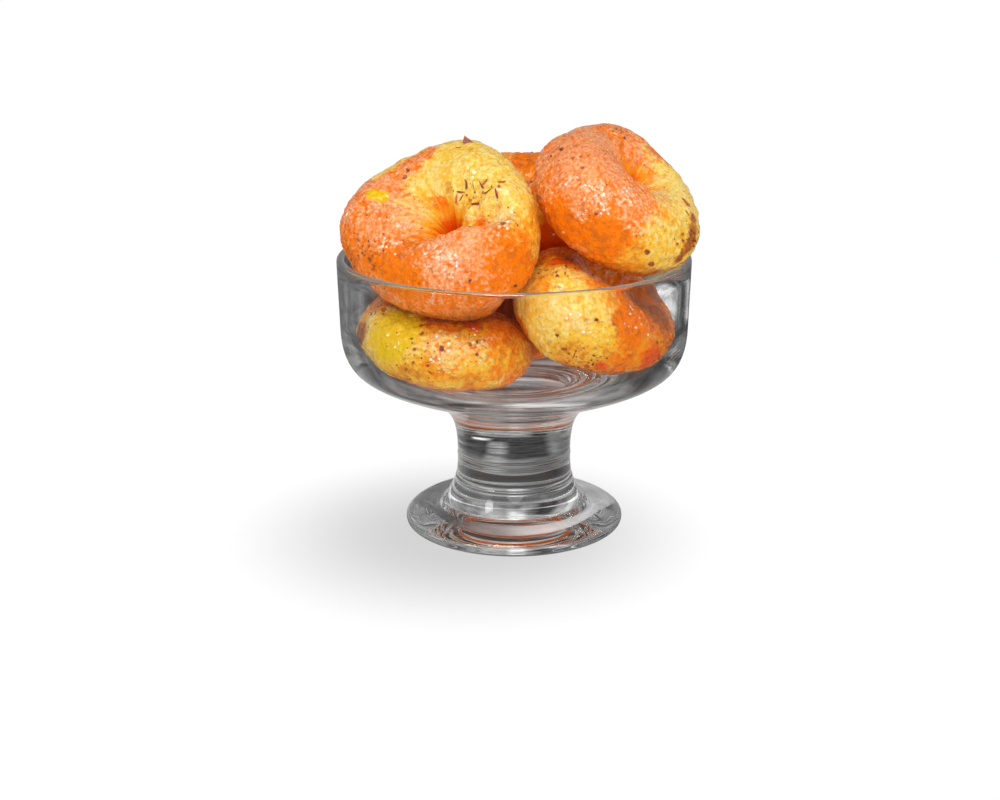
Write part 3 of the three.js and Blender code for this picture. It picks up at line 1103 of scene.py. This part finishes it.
def table_through_glass(tree, across, deep, away, slant, behind):
    """Grey of the table for rays that have passed through glass: light that the table gives off, with painted
    shadows and light patches. Places are in metres.
    """
    far = away.rising(0.60, 1.60)
    # Dark behind the dish, but not past its right side or far away, and dark at its left.
    open_right = slant.rising(0.85, 1.15) * away.rising(0.20, 0.25)
    dark_back = behind * slant.rising(-0.50, -0.30) * away.rising(0.055, 0.068)
    dark_back = dark_back * (1.0 - open_right) * (1.0 - far)
    dark_left = slant.near(-1.5, 1.0) * behind * away.falling(0.16, 0.22)
    # Light in front of the foot, and dark further out there.
    beyond = away.rising(0.06, 0.08)
    front = deep.falling(-0.035, -0.015) * (1.0 - beyond)
    grey = (0.24 - 0.05 * behind + 0.30 * front) * (1.0 - 0.72 * dark_back) * (1.0 - 0.72 * dark_left)
    grey = grey * (1.0 - 0.9 * beyond * (1.0 - behind))
    # Under the foot: light at the right, dark at the left, darker behind the stem and at the back edge.
    under = away.falling(0.025, 0.035)
    grey = grey * (1.0 + under * (2.5 * across.rising(-0.02, 0.02) - 0.7))
    heel = deep.rising(0.006, 0.011) * away.falling(0.019, 0.023)
    gap = slant.near(0.0, 0.40) * away.near(0.037, 0.014) * behind
    grey = grey * (1.0 - 0.75 * heel) * (1.0 - 0.6 * gap)
    # Light behind the dish: a narrow strip, a broad band at the right and the far end of the table.
    strip = slant.near(0.17, 0.15) * deep.rising(0.025, 0.07) * deep.falling(0.11, 0.20)
    strip = strip * (1.0 - 0.7 * away.near(0.076, 0.014))
    band = slant.near(0.44, 0.24) * away.near(0.26, 0.10) * behind
    end = far * slant.near(0.12, 0.30) * behind
    uneven = tree.noise(30 * MM, detail=3.0, roughness=0.6).rising(0.3, 0.7)
    return (grey + 0.15 * end + 0.34 * strip + 0.95 * band) * (0.5 + uneven)


def table_mirrored(deep, away, slant, behind):
    """Grey of the table where glass or gloss mirrors it."""
    close = behind * away.falling(0.10, 0.14)
    grey = 0.14 - 0.08 * slant.rising(0.2, 0.6) * behind + 0.50 * close
    return grey * (0.3 + 0.7 * behind) + 0.30 * deep.rising(0.20, 0.60)


def floor_material():
    """White table. Glass and gloss show it as the grey top of a room's table."""
    material, tree = new_material("white_table")
    across = tree.node("ShaderNodeSeparateXYZ", sockets={0: tree.place()})
    deep = across.sibling(1)
    away = distance_from(across, deep)
    slant = across / deep
    behind = deep.rising(-0.02, 0.03)
    passed = tree.ray("Is Transmission Ray")
    through = table_through_glass(tree, across, deep, away, slant, behind)
    grey = through * passed + table_mirrored(deep, away, slant, behind) * (1.0 - passed)
    in_glass = tree.node("ShaderNodeEmission", sockets={"Strength": grey})
    # Plain sight shows an even white table with a painted soft shadow of the dish; soft light meets a dull
    # white one.
    shadow = distance_from(across + 0.012, deep + 0.010).falling(0.015, 0.075)
    bright = tree.node("ShaderNodeEmission", sockets={"Strength": 1.02 - 0.36 * shadow})
    dull = tree.node("ShaderNodeBsdfDiffuse", sockets={"Color": (0.85, 0.85, 0.85, 1)})
    plain = tree.node("ShaderNodeMixShader", sockets={0: tree.ray("Is Camera Ray"), 1: dull, 2: bright})
    tree.surface(tree.node("ShaderNodeMixShader", sockets={0: tree.straight_ray(), 1: plain, 2: in_glass}))
    return material


def room_through_glass(tree, direction, x, y, z):
    """Grey of the room for rays that have passed through glass."""
    slant = x / y
    back = y.rising(0.0, 0.2)
    # Upright bands on the back wall, light and dark, from the middle outwards.
    sky = 0.60 * slant.near(-0.03, 0.12) * z.rising(0.32, 0.50) - 0.24 * slant.near(-0.32, 0.20)
    sky = sky + 0.32 * slant.near(-0.90, 0.50) * z.rising(0.28, 0.38)
    sky = sky - 0.15 * slant.near(-1.05, 0.50) * z.falling(0.25, 0.35)
    sky = sky + 0.12 * slant.near(0.30, 0.22) - 0.20 * slant.near(0.85, 0.50) * z.falling(0.2, 0.3)
    # Thin level lines on it.
    lines = z.near(0.13, 0.02) + z.near(0.34, 0.02) + z.near(0.60, 0.02)
    sky = sky + 0.80 * lines * (1.0 - 0.6 * slant.near(0.1, 0.5))
    # The rest of the room, darker at the far left and lighter overhead.
    sky = 0.22 + (sky + 0.08) * back - 0.15 * x.falling(-0.94, -0.84)
    sky = sky + 0.45 * z.rising(0.48, 0.68) * (0.2 + 0.8 * back)
    cloud = tree.noise(0.2, detail=4.0, roughness=0.6, at=direction).rising(0.3, 0.7)
    return sky * (0.5 + cloud)


def room_mirrored(x, y, z):
    """Light of the window, the lamps and the pale backdrop where glass or gloss mirrors them."""
    window = x.near(-0.75, 0.18) * z.near(0.35, 0.25)
    lamp = x.near(0.80, 0.10) * z.near(0.30, 0.25)
    overhead = z.rising(0.90, 0.94)
    backdrop = y.rising(0.55, 0.90) * z.falling(0.30, 0.55)
    key_spot = (0.90 * z - 0.10 * x - 0.43 * y).rising(0.965, 0.975)
    side_spot = (0.53 * z - 0.63 * x - 0.56 * y).rising(0.985, 0.990)
    front_spot = (0.28 * z + 0.03 * x - 0.96 * y).rising(0.955, 0.975)
    panels = 0.02 + 1.3 * window + 1.1 * lamp + 0.4 * overhead + 0.5 * backdrop
    return panels + 8.0 * key_spot + 5.0 * side_spot + 3.0 * front_spot


def make_world(settings):
    """Even white light for the candy, and a dim room with bright panels for the glass and the gloss."""
    world = bpy.data.worlds.new("studio")
    world.cycles.sampling_method = "NONE"
    bpy.context.scene.world = world
    tree = Tree(world)
    direction = tree.node("ShaderNodeTexCoord", out=0)
    x = tree.node("ShaderNodeSeparateXYZ", sockets={0: direction})
    y, z = x.sibling(1), x.sibling(2)
    passed = tree.ray("Is Transmission Ray")
    room = room_through_glass(tree, direction, x, y, z) * passed + room_mirrored(x, y, z) * (1.0 - passed)
    seen = tree.node("ShaderNodeBackground", sockets={"Strength": room})
    light = tree.node("ShaderNodeBackground", sockets={"Strength": settings.ambient})
    mix = tree.node("ShaderNodeMixShader", sockets={0: tree.straight_ray(), 1: light, 2: seen})
    tree.node("ShaderNodeOutputWorld", sockets={"Surface": mix})


# The table lies this far under the foot.
TABLE_GAP = 0.2 * MM


def make_floor():
    work = bmesh.new()
    bmesh.ops.create_grid(work, x_segments=2, y_segments=2, size=6.0)
    bmesh.ops.translate(work, verts=work.verts, vec=(0, 0, -TABLE_GAP))
    floor = finish_piece(work, "table_top", smooth=False)
    floor.data.materials.append(floor_material())


def add_area(name, place, size, power, glossy=True):
    """A square light that points at the heap; glossy says whether it shows as a highlight."""
    lamp = bpy.data.lights.new(name, "AREA")
    lamp.size = size
    lamp.energy = power
    thing = bpy.data.objects.new(name, lamp)
    thing.location = place
    aim = Vector((0, 0, 0.07)) - thing.location
    thing.rotation_euler = aim.to_track_quat("-Z", "Y").to_euler()
    thing.visible_glossy = glossy
    thing.visible_transmission = False
    bpy.context.scene.collection.objects.link(thing)


def make_camera(settings):
    data = bpy.data.cameras.new("view")
    data.lens = settings.lens
    data.sensor_width = 36.0
    data.clip_start = 0.01
    camera = bpy.data.objects.new("view", data)
    flat = settings.distance * math.cos(settings.pitch)
    up = settings.aim_height + settings.distance * math.sin(settings.pitch)
    turn = Matrix.Rotation(math.pi / 2 - settings.pitch, 4, "X") @ Matrix.Rotation(settings.pan, 4, "Y")
    camera.matrix_world = Matrix.Translation((0, -flat, up)) @ turn
    bpy.context.scene.collection.objects.link(camera)
    bpy.context.scene.camera = camera


# ---------------------------------------------------------------------------------------------
# Operators, panel and run


class CANDYDISH_OT_dish(bpy.types.Operator):
    """Model the moulded glass dish"""

    bl_idname = "candydish.dish"
    bl_label = "Glass Dish"

    def execute(self, context):
        settings = context.scene.candy_dish_glass
        dish = make_dish(settings)
        dish.data.materials.append(glass_material(settings))
        dish.visible_shadow = False
        dish.visible_diffuse = False
        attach(dish, "root")
        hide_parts(DISH_NODE)
        return {"FINISHED"}


class CANDYDISH_OT_rings(bpy.types.Operator):
    """Model the candy rings with their crust"""

    bl_idname = "candydish.rings"
    bl_label = "Candy Rings"

    def execute(self, context):
        settings = context.scene.candy_dish_candy
        crust_finish = candy_material(settings)
        for seed, ring in enumerate(RINGS):
            piece = make_ring(ring, settings, seed)
            piece.data.materials.clear()
            piece.data.materials.append(crust_finish)
            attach(piece, "root")
            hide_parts(ring.node)
        return {"FINISHED"}


class CANDYDISH_OT_chilli(bpy.types.Operator):
    """Strew chilli flakes and dust over the rings"""

    bl_idname = "candydish.chilli"
    bl_label = "Chilli Flakes"

    def execute(self, context):
        settings = context.scene.candy_dish_flakes
        rings = [bpy.data.objects.get("puffed_" + ring.node) for ring in RINGS]
        if None in rings:
            raise RuntimeError("make the candy rings before the chilli flakes")
        skin = flake_material(settings)
        for piece in strew(rings, settings):
            piece.data.materials.append(skin)
            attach(piece, "root")
        return {"FINISHED"}


class CANDYDISH_OT_stage(bpy.types.Operator):
    """Set the table, the light and the camera"""

    bl_idname = "candydish.stage"
    bl_label = "Stage"

    def execute(self, context):
        settings = context.scene.candy_dish_stage
        make_world(settings)
        make_floor()
        add_area("key_light", (-0.10, -0.42, 0.95), 0.32, settings.key_power)
        add_area("side_light", (-0.65, -0.58, 0.62), 0.22, settings.side_power)
        add_area("fill_light", (0.70, -0.35, 0.50), 0.5, settings.fill_power, glossy=False)
        add_area("front_light", (0.10, -0.90, 0.25), 0.6, settings.front_power, glossy=False)
        make_camera(settings)
        context.scene.view_settings.view_transform = "Standard"
        # Rays need many bounces to leave the thick glass; with few of them it goes dark.
        paths = context.scene.cycles
        paths.max_bounces = 90
        paths.transmission_bounces = 24
        paths.glossy_bounces = 80
        return {"FINISHED"}


class CANDYDISH_PT_panel(bpy.types.Panel):
    """Lists the pieces of the candy dish"""

    bl_idname = "CANDYDISH_PT_panel"
    bl_label = "Candy Dish"
    bl_space_type = "VIEW_3D"
    bl_region_type = "UI"
    bl_category = "Candy Dish"

    def draw(self, context):
        for group, _, operator in GROUPS:
            box = self.layout.box()
            settings = getattr(context.scene, group)
            for name in settings.bl_rna.properties.keys():
                if name not in ("rna_type", "name"):
                    box.prop(settings, name)
            box.operator(operator)


GROUPS = [
    ("candy_dish_glass", DishSettings, "candydish.dish"),
    ("candy_dish_candy", CandySettings, "candydish.rings"),
    ("candy_dish_flakes", FlakeSettings, "candydish.chilli"),
    ("candy_dish_stage", StageSettings, "candydish.stage"),
]
CLASSES = [
    *(settings for _, settings, _ in GROUPS),
    CANDYDISH_OT_dish,
    CANDYDISH_OT_rings,
    CANDYDISH_OT_chilli,
    CANDYDISH_OT_stage,
    CANDYDISH_PT_panel,
]


def register():
    for cls in CLASSES:
        bpy.utils.register_class(cls)
    for group, settings, _ in GROUPS:
        setattr(bpy.types.Scene, group, PointerProperty(type=settings))


def unregister():
    for group, _, _ in GROUPS:
        delattr(bpy.types.Scene, group)
    for cls in reversed(CLASSES):
        bpy.utils.unregister_class(cls)


def main():
    register()
    bpy.ops.candydish.dish()
    bpy.ops.candydish.rings()
    bpy.ops.candydish.chilli()
    bpy.ops.candydish.stage()


if __name__ == "__main__":
    main()
